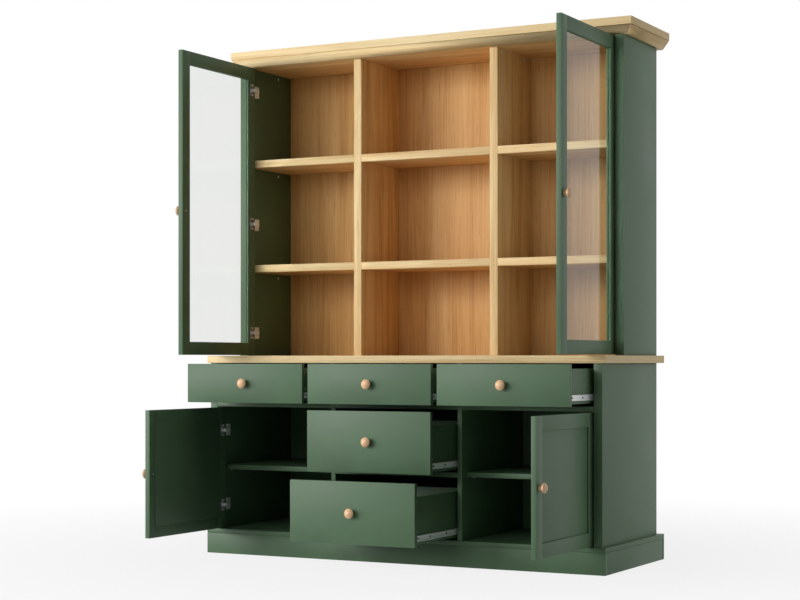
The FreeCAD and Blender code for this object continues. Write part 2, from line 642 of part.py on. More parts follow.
def drawer(label, middle, opening, pull, box_drop, runners):
    """Drawer drawn out of its opening: front, box, knob and its half of the runners."""
    half = f"({BAY} / 2)"
    face = f"({BASE_FACE} - {pull})"
    box_front = f"({face} + door_thickness)"
    run_length = f"({BACK_FACE} - {BASE_FACE} - door_thickness - box_rear_room)"
    box_rear = f"({box_front} + {run_length})"
    front_low = f"({opening[0]} + front_gap)"
    front_high = f"({opening[1]} - front_gap)"
    width = (f"{middle} - {half} + front_gap", f"{middle} + {half} - front_gap")
    piece(f"{label}_front", eased_board(f"{label}_front", width, (face, box_front), (front_low, front_high)))

    outer = f"({half} - runner_space)"
    inner = f"({outer} - drawer_side_thickness)"
    groove = f"({inner} + groove_depth)"
    walls = (f"({front_low} + box_rise)", f"({front_high} - {box_drop})")
    bottom = (f"({walls[0]} + drawer_bottom_rise)",
              f"({walls[0]} + drawer_bottom_rise + drawer_bottom_thickness)")
    slot = (f"{bottom[0]} - groove_clearance", f"{bottom[1]} + groove_clearance")
    length = (box_front, box_rear)
    panels = []
    slides = []
    for side, hand in SIDES.items():
        wall_x = handed(hand, inner, outer)
        slot_x = handed(hand, inner, groove)
        shift = [tuple(f"{middle} + {limit}" for limit in pair) for pair in (wall_x, slot_x)]
        panels.append(cut(f"{label}_{side}_wall", box(f"{label}_{side}_wall_blank", shift[0], length, walls),
                          box(f"{label}_{side}_groove", shift[1], length, slot)))
        rail_low = f"({front_low} + runner_rise)"
        rail_high = f"({rail_low} + runner_height)"
        cabinet_x = (f"{half} - runner_depth", half)
        drawer_x = (outer, f"{half} - runner_wall - runner_clearance")
        inset = "(runner_wall + runner_clearance)"
        cabinet_front = f"({BASE_FACE} + door_thickness + runner_front_room)"
        cabinet_run = (cabinet_front, f"{cabinet_front} + {run_length} - runner_front_room")
        drawer_run = (box_front, f"{box_front} + {run_length}")
        for kind, xs, ys, zs, inward, group in (
                ("runner", cabinet_x, cabinet_run, (rail_low, rail_high), True, runners),
                ("slide", drawer_x, drawer_run, (f"{rail_low} + {inset}", f"{rail_high} - {inset}"),
                 False, slides)):
            name = f"{label}_{side}_{kind}"
            section = channel(name, hand, xs, ys, zs, inward)
            bind_shift(section, middle)
            group.append(section)
    rear = (f"{box_rear} - drawer_side_thickness", box_rear)
    panels.append(box(f"{label}_rear_wall", (f"{middle} - {inner}", f"{middle} + {inner}"), rear,
                      (f"{bottom[1]}", walls[1])))
    panels.append(box(f"{label}_bottom", (f"{middle} - {groove} + groove_clearance",
                                          f"{middle} + {groove} - groove_clearance"), length, bottom))
    piece(f"{label}_box", *panels)
    piece(f"{label}_slides", *slides)
    knob(f"{label}_knob", "front", middle, face, f"({front_low} + {front_high}) / 2")


def bind_shift(solid, middle):
    """Carry a section that was drawn about the middle of a bay across to its own bay."""
    bind(solid, {"Placement.Base.x": middle})


def check(objects, finished):
    """Stop if any object failed or any finished shape is empty or invalid."""
    failed = [obj.Name for obj in objects if {"Invalid", "Error"} & set(obj.State)]
    empty = [part.Label for part in finished if part.Shape.isNull() or not part.Shape.isValid()]
    if failed or empty:
        raise RuntimeError(f"failed objects {failed}, empty or invalid shapes {empty}")


plinth()
base_carcass()
hutch_carcass()
cornice()
hinge_arms = []
for side_name, side_hand in SIDES.items():
    glazed_door(side_name, side_hand, hinge_arms)
    cupboard_door(side_name, side_hand, hinge_arms)
piece("hinge_arms", *hinge_arms)
drawer_runners = []
pitch = f"({BAY} + board_thickness)"
top_opening = (DECK_TOP, COUNTER_UNDER)
for bay_name, bay_middle in (("left", f"-{pitch}"), ("centre", "0"), ("right", pitch)):
    drawer(f"top_{bay_name}_drawer", bay_middle, top_opening, "top_pull", "shallow_box_drop",
           drawer_runners)
drawer("middle_drawer", "0", (RAIL_TOP, DECK_UNDER), "middle_pull", "deep_box_drop", drawer_runners)
drawer("bottom_drawer", "0", (FLOOR_TOP, RAIL_UNDER), "bottom_pull", "deep_box_drop", drawer_runners)
piece("drawer_runners", *drawer_runners)

doc.recompute()
check(doc.Objects, pieces)
os.makedirs("parts", exist_ok=True)
for finished_piece in pieces:
    finished_piece.Shape.exportStep(f"parts/{finished_piece.Label}.step")
print(f"{len(pieces)} pieces written")
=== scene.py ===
import logging
import math
from contextlib import contextmanager
from dataclasses import dataclass, field
from enum import Enum
from typing import Any, Iterable, Iterator, Sequence

import bpy
from bpy.types import ID, Material, Node, NodeSocket, NodeTree, Object
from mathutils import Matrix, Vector


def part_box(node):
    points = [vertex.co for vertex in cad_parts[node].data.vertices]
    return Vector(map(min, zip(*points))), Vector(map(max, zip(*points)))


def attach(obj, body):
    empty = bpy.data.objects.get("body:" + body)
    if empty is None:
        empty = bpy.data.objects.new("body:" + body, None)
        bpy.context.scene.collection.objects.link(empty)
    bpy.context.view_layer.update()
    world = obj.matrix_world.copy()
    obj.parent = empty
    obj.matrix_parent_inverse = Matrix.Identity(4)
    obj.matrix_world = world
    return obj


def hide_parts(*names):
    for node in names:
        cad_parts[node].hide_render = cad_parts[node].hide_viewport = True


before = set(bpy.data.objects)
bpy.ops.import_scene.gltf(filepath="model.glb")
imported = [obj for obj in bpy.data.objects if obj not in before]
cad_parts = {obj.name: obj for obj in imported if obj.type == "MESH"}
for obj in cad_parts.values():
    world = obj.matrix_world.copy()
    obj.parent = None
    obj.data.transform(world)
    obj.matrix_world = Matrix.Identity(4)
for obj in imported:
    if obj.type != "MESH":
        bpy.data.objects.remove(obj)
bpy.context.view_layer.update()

MM = 0.001

CABINET = "cabinet"
DRAWERS = ("top_left_drawer", "top_centre_drawer", "top_right_drawer", "middle_drawer", "bottom_drawer")
FRONT = (0, -1, 0)
REAR = (0, 1, 0)

EASING = 0.9 * MM  # width of the rounding on a board's edges
SHARP = 30.0  # degrees between two faces from which their edge is rounded
SMOOTH = 35.0  # degrees between two faces up to which they are shaded as one
SMOOTH_FITTING = 45.0  # the same on knobs and screws
FLAT = 1.0  # degrees between two faces up to which they are merged
TOUCHING = 0.001 * MM  # distance up to which two points are merged
PAST = 1 * MM  # how far a cutter reaches past the face that it cuts
LOOKING = 0.9  # least cosine between a face's normal and the way that it looks
WHITE = "#ffffff"

log = logging.getLogger("buffet_and_hutch")

Point = Sequence[float]
Span = tuple[float, float]
Limits = tuple[Point, Point]  # two opposite corners of a board
Seat = tuple[Point, Point]  # where a fitting sits and the way that it faces


class Choice(Enum):
    """A choice whose name stands in the names of nodes, bodies and materials."""

    @property
    def word(self) -> str:
        """The choice's name as it stands there."""
        return self.name.lower()


class Side(Choice):
    """Which half of the piece something belongs to; the value is its sign along X."""

    LEFT = -1
    RIGHT = 1

    def inner(self, node: str) -> float:
        """Where the face of a solid that looks to the middle stands along X."""
        low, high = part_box(node)
        return low.x if self is Side.RIGHT else high.x

    def outer(self, node: str) -> float:
        """Where the face of a solid that looks away from the middle stands along X."""
        low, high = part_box(node)
        return high.x if self is Side.RIGHT else low.x


class Row(Choice):
    """Which storey a door hangs in; the value stands in the names of that storey's sides."""

    UPPER = "hutch"
    LOWER = "base"


class Grain(Choice):
    """Turn, in degrees about X, Y and Z, that lays a pattern's long axis X along a board's grain."""

    ALONG = (0.0, 0.0, 0.0)
    DEEP = (0.0, 0.0, 90.0)
    UPRIGHT = (0.0, 90.0, 0.0)


class Slot(Enum):
    """Material slots of the record that the pieces take their finish from."""

    PAINT = "green_paint"
    OAK = "oak"
    KNOB = "knob_wood"
    GLASS = "pane_glass"
    STEEL = "bright_steel"


# Colour and shader nodes


def linear(colour: str) -> tuple[float, float, float, float]:
    """Turn an sRGB hex colour into linear light.

    Args:
        colour: A colour such as "#5f7a5e".

    Returns:
        Red, green, blue and alpha, linear.
    """
    channels = [int(colour[place:place + 2], 16) / 255 for place in (1, 3, 5)]
    light = [c / 12.92 if c <= 0.04045 else ((c + 0.055) / 1.055) ** 2.4 for c in channels]
    return (light[0], light[1], light[2], 1.0)


def set_inputs(node: Node, inputs: dict[Any, Any]) -> None:
    """Give a node's inputs their values or links.

    Args:
        node: The node.
        inputs: Values or output sockets, by the input's name or number.
    """
    for name, given in inputs.items():
        if isinstance(given, NodeSocket):
            node.id_data.links.new(given, node.inputs[name])
        else:
            node.inputs[name].default_value = given


def add_node(tree: NodeTree, kind: str, inputs: dict[Any, Any] | None = None,
             stops: Sequence[tuple[float, str]] = (), **settings: Any) -> Node:
    """Add a node with its settings, values and links.

    Args:
        tree: The node tree to add to.
        kind: The node's type name, without the ShaderNode prefix.
        inputs: Values or output sockets for the inputs, by name or number.
        stops: Positions and hex colours of a colour ramp, in order.
        settings: Properties of the node itself.

    Returns:
        The new node.
    """
    node = tree.nodes.new(f"ShaderNode{kind}")
    for name, setting in settings.items():
        setattr(node, name, setting)
    set_inputs(node, inputs or {})
    for number, (position, colour) in enumerate(stops):
        elements = node.color_ramp.elements
        element = elements[number] if number < len(elements) else elements.new(position)
        element.position = position
        element.color = linear(colour)
    return node


def new_material(name: str) -> tuple[Material, Node, NodeSocket]:
    """Start a material with one principled shader.

    Args:
        name: The material's name.

    Returns:
        The material, its shader and the piece's own coordinates.
    """
    material = bpy.data.materials.new(name)
    material.use_nodes = True
    tree = material.node_tree
    tree.nodes.clear()
    shader = add_node(tree, "BsdfPrincipled")
    add_node(tree, "OutputMaterial", {"Surface": shader.outputs["BSDF"]})
    return material, shader, add_node(tree, "TexCoord").outputs["Object"]


def flecks(place: NodeSocket, width_mm: float, stretch: Point = (1, 1, 1), detail: float = 3.0,
           roughness: float = 0.5, distortion: float = 0.0) -> NodeSocket:
    """Draw noise in flecks of a real width.

    Args:
        place: Coordinates that the flecks lie in.
        width_mm: Width of a fleck.
        stretch: Length of a fleck against its width, along X, Y and Z.
        detail: How many finer layers the flecks hold.
        roughness: Strength of the finer layers.
        distortion: How far the flecks wander.

    Returns:
        The noise's factor.
    """
    tree = place.id_data
    scale = [1 / (width_mm * MM * length) for length in stretch]
    scaled = add_node(tree, "Mapping", {"Vector": place, "Scale": scale})
    noise = add_node(tree, "TexNoise", {
        "Vector": scaled.outputs["Vector"], "Scale": 1.0, "Detail": detail, "Roughness": roughness,
        "Distortion": distortion})
    return noise.outputs["Fac"]


@dataclass(frozen=True)
class SatinPaint:
    """Satin lacquer rolled on board: an even green with a fine roller stipple that softens its gloss."""

    name: str
    deep: str
    fresh: str
    roughness: float = 0.5
    specular: float = 0.32
    cloud_mm: float = 260.0
    stipple_mm: float = 2.2
    stipple_depth_mm: float = 0.4

    def build(self) -> Material:
        """Make the paint.

        Returns:
            The material.
        """
        material, shader, place = new_material(self.name)
        tree = material.node_tree
        # Broad clouding from the roller's laps, too faint to read as a pattern.
        cloud = flecks(place, self.cloud_mm, roughness=0.55)
        # The stipple is drawn coarser than the real half millimetre so that it shows.
        stipple = flecks(place, self.stipple_mm, detail=2.0)
        tone = add_node(tree, "ValToRGB", {"Fac": cloud}, ((0.35, self.deep), (0.65, self.fresh)))
        gloss = add_node(tree, "MapRange", {
            "Value": cloud, "From Min": 0.3, "From Max": 0.7,
            "To Min": self.roughness - 0.05, "To Max": self.roughness + 0.06})
        bump = add_node(tree, "Bump", {
            "Height": stipple, "Strength": 0.06, "Distance": self.stipple_depth_mm * MM})
        set_inputs(shader, {
            "Base Color": tone.outputs["Color"], "Roughness": gloss.outputs["Result"],
            "Normal": bump.outputs["Normal"], "Specular IOR Level": self.specular})
        return material


@dataclass(frozen=True)
class OakVeneer:
    """Lacquered oak: straight fibres, long dark pores and a slow figure, all along the grain."""

    name: str
    grain: Grain
    dark: str
    middle: str
    pale: str
    pore: str
    roughness: float = 0.54
    specular: float = 0.3
    ior: float = 1.5
    figure_mm: float = 46.0
    figure_stretch: float = 18.0
    fibre_mm: float = 5.0
    fibre_stretch: float = 90.0
    pore_mm: float = 3.2
    pore_stretch: float = 42.0
    relief_mm: float = 0.3

    def build(self) -> Material:
        """Make the oak.

        Returns:
            The material.
        """
        material, shader, place = new_material(self.name)
        tree = material.node_tree
        turn = [math.radians(angle) for angle in self.grain.value]
        turned = add_node(tree, "Mapping", {"Vector": place, "Rotation": turn}, vector_type="TEXTURE")
        # Real fibres and pores are a few tenths of a millimetre wide and are drawn wider so that they show.
        figure, fibre, pores = (
            flecks(turned.outputs["Vector"], width, (stretch, 1, 1), roughness=0.6, distortion=wander)
            for width, stretch, wander in ((self.figure_mm, self.figure_stretch, 0.7),
                                           (self.fibre_mm, self.fibre_stretch, 0.2),
                                           (self.pore_mm, self.pore_stretch, 0.0)))
        mixed = add_node(tree, "Mix", {0: 0.45, 2: figure, 3: fibre}, data_type="FLOAT")
        tone = add_node(tree, "ValToRGB", {"Fac": mixed.outputs[0]},
                        ((0.34, self.dark), (0.5, self.middle), (0.64, self.pale)))
        mask = add_node(tree, "MapRange", {
            "Value": pores, "From Min": 0.60, "From Max": 0.72, "To Min": 0.0, "To Max": 0.65})
        colour = add_node(tree, "Mix", {
            0: mask.outputs["Result"], 6: tone.outputs["Color"], 7: linear(self.pore)}, data_type="RGBA")
        gloss = add_node(tree, "MapRange", {
            "Value": fibre, "From Min": 0.3, "From Max": 0.7,
            "To Min": self.roughness - 0.06, "To Max": self.roughness + 0.08})
        relief = add_node(tree, "Math", {0: fibre, 1: mask.outputs["Result"]}, operation="SUBTRACT")
        bump = add_node(tree, "Bump", {
            "Height": relief.outputs[0], "Strength": 0.12, "Distance": self.relief_mm * MM})
        set_inputs(shader, {
            "Base Color": colour.outputs[2], "Roughness": gloss.outputs["Result"],
            "Normal": bump.outputs["Normal"], "IOR": self.ior, "Specular IOR Level": self.specular})
        return material


@dataclass(frozen=True)
class TurnedBeech:
    """Turned and lacquered beech: a warm pale wood with short flecks that stand a little proud."""

    name: str
    dark: str
    pale: str
    roughness: float = 0.36
    ior: float = 1.5
    fleck_mm: float = 1.6
    fleck_stretch: float = 5.0
    relief_mm: float = 0.2

    def build(self) -> Material:
        """Make the knobs' wood.

        Returns:
            The material.
        """
        material, shader, place = new_material(self.name)
        tree = material.node_tree
        fleck = flecks(place, self.fleck_mm, (1, 1, self.fleck_stretch))
        tone = add_node(tree, "ValToRGB", {"Fac": fleck}, ((0.32, self.dark), (0.62, self.pale)))
        bump = add_node(tree, "Bump", {
            "Height": fleck, "Strength": 0.08, "Distance": self.relief_mm * MM})
        set_inputs(shader, {
            "Base Color": tone.outputs["Color"], "Normal": bump.outputs["Normal"],
            "Roughness": self.roughness, "IOR": self.ior})
        return material


@dataclass(frozen=True)
class PlatedSteel:
    """Steel under zinc or nickel: a pale metal with fine rolling lines and a soft, uneven gloss."""

    name: str
    tone: str
    bright: str
    roughness: float
    metallic: float
    line_mm: float = 1.2
    line_stretch: float = 30.0

    def build(self) -> Material:
        """Make the metal.

        Returns:
            The material.
        """
        material, shader, place = new_material(self.name)
        tree = material.node_tree
        # Real rolling lines are finer and are drawn wider so that they show.
        lines = flecks(place, self.line_mm, (1, self.line_stretch, 1), detail=2.0)
        tone = add_node(tree, "ValToRGB", {"Fac": lines}, ((0.3, self.tone), (0.7, self.bright)))
        gloss = add_node(tree, "MapRange", {
            "Value": lines, "To Min": self.roughness - 0.06, "To Max": self.roughness + 0.1})
        set_inputs(shader, {
            "Base Color": tone.outputs["Color"], "Roughness": gloss.outputs["Result"],
            "Metallic": self.metallic})
        return material


@dataclass(frozen=True)
class FloatGlass:
    """Clear float glass: nearly colourless, with slight smears in its gloss."""

    name: str
    tint: str
    shade: str
    ior: float = 1.22
    smear_mm: float = 90.0

    def build(self) -> Material:
        """Make the glass.

        Returns:
            The material.
        """
        material, shader, place = new_material(self.name)
        tree = material.node_tree
        smear = flecks(place, self.smear_mm, detail=4.0)
        gloss = add_node(tree, "MapRange", {
            "Value": smear, "From Min": 0.4, "From Max": 0.8, "To Min": 0.0, "To Max": 0.012})
        # The IOR is below the usual 1.5 of glass, so the pane mirrors and bends less.
        set_inputs(shader, {
            "Base Color": linear(self.tint), "Roughness": gloss.outputs["Result"],
            "Transmission Weight": 1.0, "IOR": self.ior})
        # Lamp light passes the thin pane unbent and a little weaker, so the pane throws a pale shadow.
        clear = add_node(tree, "BsdfTransparent", {"Color": linear(self.shade)})
        path = add_node(tree, "LightPath")
        pane = add_node(tree, "MixShader", {
            0: path.outputs["Is Shadow Ray"], 1: shader.outputs["BSDF"], 2: clear.outputs["BSDF"]})
        set_inputs(tree.nodes["Material Output"], {"Surface": pane.outputs[0]})
        return material


@dataclass(frozen=True)
class Cover:
    """What boards are dressed in: the materials of their faces and eased edges, and the record's slot."""

    face: Material
    edge: Material
    slot: Slot


class Finishes:
    """Every finish of the piece, built once."""

    def __init__(self) -> None:
        """Build the materials and pair those of the boards."""
        paint = SatinPaint("satin_green_lacquer", "#465f45", "#4e694d").build()
        # Eased edges read paler and a little glossier than the faces; the paler paint is partly wear and
        # partly a painted highlight along the edges.
        edge = SatinPaint("satin_green_lacquer_edge", "#4f694d", "#577255", roughness=0.42).build()
        self.paint = Cover(paint, edge, Slot.PAINT)
        self.plain_paint = Cover(paint, paint, Slot.PAINT)
        veneer = self.oaks("lacquered_oak", Grain, "#c4955a", "#dfb67c", "#e9c890", "#946636")
        # The paler oak of the bands, on eased edges and on faces that look to the front, is a painted
        # highlight.
        self.bands = self.oaks("lacquered_oak_edge", Grain, "#c69f67", "#debe89", "#e8cf9f", "#a37944")
        self.oak = {grain: Cover(veneer[grain], self.bands[grain], Slot.OAK) for grain in Grain}
        # Cornice and counter edge are solid strips with fainter pores than the veneer; their paler oak is
        # painted light that stands in for light these faces lack.
        self.strips = self.oaks("lacquered_oak_cornice", (Grain.ALONG, Grain.DEEP),
                                "#d3b27c", "#e8ce9b", "#efd9ae", "#bb9561")
        back = OakVeneer("lacquered_oak_back", Grain.UPRIGHT, "#c08c4e", "#d6a566", "#e1b87f", "#8b5a2a",
                         figure_mm=70.0).build()
        self.oak_back = Cover(back, back, Slot.OAK)
        self.knob = TurnedBeech("turned_beech", "#d6a377", "#efc79c").build()
        # The zinc and the hinge arms are pale and barely metallic: a painted highlight that keeps them pale
        # where they face the dark inside.
        self.steel = PlatedSteel("bright_zinc_steel", "#eef0f0", "#fafbfb", 0.30, 0.2).build()
        self.hinge = PlatedSteel("bright_nickel_steel", "#eceeee", "#fafafa", 0.24, 0.2).build()
        # The cups' darker, more metallic nickel is painted shade on the same plating, where they sit on the
        # doors' shaded inner faces.
        self.cup = PlatedSteel("dull_nickel_steel", "#8e9091", "#aeb0b0", 0.3, 0.85).build()
        self.screw = PlatedSteel("zinc_screw", "#c2c5c6", "#dfe1e1", 0.34, 0.6).build()
        self.glass = FloatGlass("clear_float_glass", "#ecefed", "#c4cbc8").build()

    @staticmethod
    def oaks(name: str, grains: Iterable[Grain], *shades: str) -> dict[Grain, Material]:
        """One oak for each direction of grain, in four shades: dark, middle, pale and pore."""
        return {grain: OakVeneer(f"{name}_{grain.word}", grain, *shades).build() for grain in grains}


# Modelling


def deselect_all() -> None:
    """Leave nothing selected, so that the next operator acts on new work alone."""
    if bpy.context.object and bpy.context.object.mode != "OBJECT":
        bpy.ops.object.mode_set(mode="OBJECT")
    bpy.ops.object.select_all(action="DESELECT")


def select_only(*pieces: Object) -> None:
    """Select some pieces and nothing else.

    Args:
        pieces: The pieces; the first becomes active.
    """
    deselect_all()
    for piece in pieces:
        piece.select_set(True)
    bpy.context.view_layer.objects.active = pieces[0]


@contextmanager
def editing(piece: Object) -> Iterator[None]:
    """Open a piece in edit mode with all of it selected, and close it afterwards.

    Args:
        piece: The piece.
    """
    select_only(piece)
    bpy.ops.object.mode_set(mode="EDIT")
    bpy.ops.mesh.select_all(action="SELECT")
    yield
    bpy.ops.object.mode_set(mode="OBJECT")


def place_primitive(name: str, scale: Point = (1, 1, 1)) -> Object:
    """Name the primitive just added and put its place, turn and scale into its mesh.

    Args:
        name: The piece's name.
        scale: Its scale.

    Returns:
        The piece.
    """
    piece = bpy.context.object
    piece.name = name
    piece.scale = scale
    bpy.ops.object.transform_apply(location=True, rotation=True, scale=True)
    return piece


def block(name: str, corner: Point, opposite: Point) -> Object:
    """Add a block.

    Args:
        name: The block's name.
        corner: One of its corners, in metres.
        opposite: The corner opposite.

    Returns:
        The block.
    """
    deselect_all()
    low = Vector([min(pair) for pair in zip(corner, opposite)])
    high = Vector([max(pair) for pair in zip(corner, opposite)])
    bpy.ops.mesh.primitive_cube_add(size=1.0, location=(low + high) / 2)
    return place_primitive(name, high - low)


def rod(name: str, start: Point, end: Point, radius: float, sides: int) -> Object:
    """Add a cylinder.

    Args:
        name: The cylinder's name.
        start: Centre of one end.
        end: Centre of the other end.
        radius: Its radius.
        sides: How many flats go round it.

    Returns:
        The cylinder.
    """
    deselect_all()
    line = Vector(end) - Vector(start)
    bpy.ops.mesh.primitive_cylinder_add(vertices=sides, radius=radius, depth=line.length,
                                        location=(Vector(start) + Vector(end)) / 2,
                                        rotation=line.to_track_quat("Z", "Y").to_euler())
    return place_primitive(name)


def add_object(name: str, data: ID) -> Object:
    """Add an object to the scene.

    Args:
        name: The object's name.
        data: Its mesh, lamp or camera.

    Returns:
        The object.
    """
    added = bpy.data.objects.new(name, data)
    bpy.context.scene.collection.objects.link(added)
    return added


def apply_modifier(piece: Object, kind: str, **settings: Any) -> None:
    """Add a modifier with its settings and apply it.

    Args:
        piece: The piece to change.
        kind: The modifier's type.
        settings: The modifier's properties.
    """
    select_only(piece)
    modifier = piece.modifiers.new(kind.lower(), kind)
    for name, setting in settings.items():
        setattr(modifier, name, setting)
    bpy.ops.object.modifier_apply(modifier=modifier.name)


def ease(piece: Object, width: float, segments: int = 2, slot: int = -1) -> None:
    """Round a piece's sharp edges; a slot of -1 gives the rounding the material of its neighbours."""
    apply_modifier(piece, "BEVEL", width=width, segments=segments, limit_method="ANGLE",
                   angle_limit=math.radians(SHARP), material=slot, harden_normals=False)


def carve(piece: Object, cutter: Object) -> None:
    """Take a cutter's shape out of a piece and delete the cutter."""
    apply_modifier(piece, "BOOLEAN", operation="DIFFERENCE", object=cutter, solver="EXACT")
    bpy.data.objects.remove(cutter)


def join(name: str, pieces: Sequence[Object]) -> Object:
    """Join pieces into one.

    Args:
        name: The joined piece's name.
        pieces: The pieces, at least one.

    Returns:
        The joined piece.
    """
    select_only(*pieces)
    if len(pieces) > 1:
        bpy.ops.object.join()
    pieces[0].name = name
    pieces[0].data.name = name
    return pieces[0]


def smooth(piece: Object, degrees: float = SMOOTH) -> None:
    """Shade a piece smooth except over edges sharper than an angle."""
    select_only(piece)
    bpy.ops.object.shade_smooth_by_angle(angle=math.radians(degrees))


def give(piece: Object, *materials: Material) -> None:
    """Set a piece's material slots.

    Args:
        piece: The piece.
        materials: What its slots hold, in order.
    """
    piece.data.materials.clear()
    for material in materials:
        piece.data.materials.append(material)


def settle(piece: Object, body: str, slot: Slot, *nodes: str) -> None:
    """Hand a finished piece to the frame.

    Args:
        piece: The piece.
        body: The body it moves with.
        slot: The record's slot of its finish; not used.
        nodes: The solids that it stands for.
    """
    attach(piece, body)
    if nodes:
        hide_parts(*nodes)
    log.info("%s on %s: %d faces", piece.name, body, len(piece.data.polygons))


def board(name: str, limits: Limits, cover: Cover, easing: float = EASING) -> Object:
    """Model one board with eased edges that catch the light.

    Args:
        name: The board's name.
        limits: Two opposite corners.
        cover: What it is dressed in.
        easing: Width of the rounding on its edges.

    Returns:
        The board.
    """
    piece = block(name, *limits)
    give(piece, cover.face, cover.edge)
    ease(piece, easing, slot=1)
    smooth(piece)
    return piece


def pressing(node: str, name: str, finish: Material, easing: float) -> Object:
    """Copy a metal solid, merge its faces and round its edges as a pressing's are.

    Args:
        node: The solid's name.
        name: The new piece's name.
        finish: Its material.
        easing: Width of the rounding.

    Returns:
        The new piece.
    """
    piece = add_object(name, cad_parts[node].data.copy())
    give(piece, finish)
    with editing(piece):
        bpy.ops.mesh.remove_doubles(threshold=TOUCHING)
        bpy.ops.mesh.dissolve_limited(angle_limit=math.radians(FLAT))
    ease(piece, easing)
    smooth(piece)
    return piece


# Places of boards


def mirrored(spans: Sequence[Span]) -> list[Span]:
    """Spans along X, followed by their mirror images on the other side."""
    return list(spans) + [(-high, -low) for low, high in spans]


def stack(across: Iterable[Span], deep: Span, up: Span) -> list[Limits]:
    """Corners of boards that share their depth and their height."""
    return [((x0, deep[0], up[0]), (x1, deep[1], up[1])) for x0, x1 in across]


def filling(node: str, across: Iterable[Span]) -> list[Limits]:
    """Corners of boards that fill a solid's box in depth and height."""
    low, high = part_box(node)
    return stack(across, (low.y, high.y), (low.z, high.z))


def bays(dividers: str, thick: float, right_side: str) -> tuple[list[Span], list[Span]]:
    """Work out where a pair of dividers parts a storey.

    Args:
        dividers: The dividers' solid.
        thick: Thickness of a divider.
        right_side: The solid of the storey's right-hand side.

    Returns:
        Spans along X of the dividers, and of the right-hand, left-hand and middle bay.
    """
    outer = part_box(dividers)[1].x
    inner = outer - thick
    wall = Side.RIGHT.inner(right_side)
    return mirrored([(inner, outer)]), mirrored([(outer, wall)]) + [(-inner, inner)]


def ring(low: Vector, high: Vector, wide: float) -> list[Limits]:
    """Work out the four members round an opening that looks along X.

    Args:
        low: Lowest corner of the whole ring.
        high: Its highest corner.
        wide: Width of a member.

    Returns:
        Corners of the front and rear upright, then of the bottom and top rail between them.
    """
    inside_y = (low.y + wide, high.y - wide)
    inside_z = (low.z + wide, high.z - wide)
    return [((low.x, low.y, low.z), (high.x, inside_y[0], high.z)),
            ((low.x, inside_y[1], low.z), (high.x, high.y, high.z)),
            ((low.x, inside_y[0], low.z), (high.x, inside_y[1], inside_z[0])),
            ((low.x, inside_y[0], inside_z[1]), (high.x, inside_y[1], high.z))]


# The piece of furniture


@dataclass
class BoardWork:
    """Shared ways to turn board limits into finished pieces."""

    finishes: Finishes

    @staticmethod
    def boards(name: str, node: str, cover: Cover, limits: Sequence[Limits] = (), body: str = CABINET,
               easing: float = EASING) -> Object:
        """Model boards of one finish as one piece.

        Args:
            name: The piece's name.
            node: The solid that the piece stands for.
            cover: What the boards are dressed in.
            limits: Two opposite corners of each board; without any, one board fills the solid's box.
            body: The body that the piece moves with.
            easing: Width of the rounding on the edges.

        Returns:
            The joined piece.
        """
        piece = join(name, [board(f"{name}_{number}", corners, cover, easing)
                            for number, corners in enumerate(limits or [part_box(node)])])
        settle(piece, body, cover.slot, node)
        return piece

    def ends(self, storey: Row) -> None:
        """Model the painted sides of a storey.

        Args:
            storey: The storey.
        """
        for side in Side:
            name, node = (f"{storey.value}_{kind}_{side.word}" for kind in ("end", "side"))
            self.boards(name, node, self.finishes.paint)

    @staticmethod
    def band(piece: Object, veneer: Material, outwards: Point) -> None:
        """Cover the faces that look one way with bands of paler oak, a painted highlight on those faces.

        Args:
            piece: The boards that carry the bands.
            veneer: The bands' material.
            outwards: The direction that the covered faces look in.
        """
        slot = len(piece.data.materials)
        piece.data.materials.append(veneer)
        for face in piece.data.polygons:
            if face.normal.dot(Vector(outwards)) > LOOKING:
                face.material_index = slot


@dataclass
class Repeated:
    """A small fitting that is modelled once, standing on its seat along Z, and copied to its places."""

    finish: Material
    pattern: Object = field(init=False)

    def __post_init__(self) -> None:
        """Model and dress the pattern that every copy is taken from."""
        self.pattern = self.model()
        give(self.pattern, self.finish)
        smooth(self.pattern, SMOOTH_FITTING)

    def model(self) -> Object:
        """Model the fitting at the origin."""
        raise NotImplementedError

    def copies(self, name: str, seats: Iterable[Seat], scale: float = 1.0) -> Object:
        """Copy the pattern to its seats and join the copies.

        Args:
            name: The joined piece's name.
            seats: Where each copy sits and the way that it faces.
            scale: Size of these copies against the pattern.

        Returns:
            The joined piece.
        """
        made = []
        for seat, outwards in seats:
            copy = add_object(name, self.pattern.data.copy())
            copy.rotation_euler = Vector(outwards).to_track_quat("Z", "Y").to_euler()
            copy.location = seat
            copy.scale = (scale,) * 3
            made.append(copy)
        select_only(*made)
        bpy.ops.object.transform_apply(location=True, rotation=True, scale=True)
        return join(name, made)

    def put_away(self) -> None:
        """Delete the pattern once every copy is taken."""
        bpy.data.objects.remove(self.pattern)


@dataclass
class Screws(Repeated):
    """Small zinc screws with a cross in the head."""

    radius: float = 3.6 * MM
    height: float = 1.6 * MM
    sides: int = 20
    easing: float = 0.7 * MM
    cross_width: float = 1.0 * MM
    cross_reach: float = 2.16 * MM
    cross_floor: float = 0.72 * MM

    def model(self) -> Object:
        """Model a rounded head with a cross cut into it.

        Returns:
            The head.
        """
        head = rod("screw_pattern", (0, 0, 0), (0, 0, self.height), self.radius, self.sides)
        ease(head, self.easing)
        reach, half = self.cross_reach, self.cross_width / 2
        for x, y in ((reach, half), (half, reach)):
            carve(head, block("cross", (-x, -y, self.cross_floor), (x, y, 2 * self.height)))
        return head

    def drive(self, name: str, seats: Iterable[Seat], body: str, scale: float = 1.0) -> None:
        """Copy the screw to its seats on a body, larger or smaller than the pattern."""
        settle(self.copies(name, seats, scale), body, Slot.STEEL)


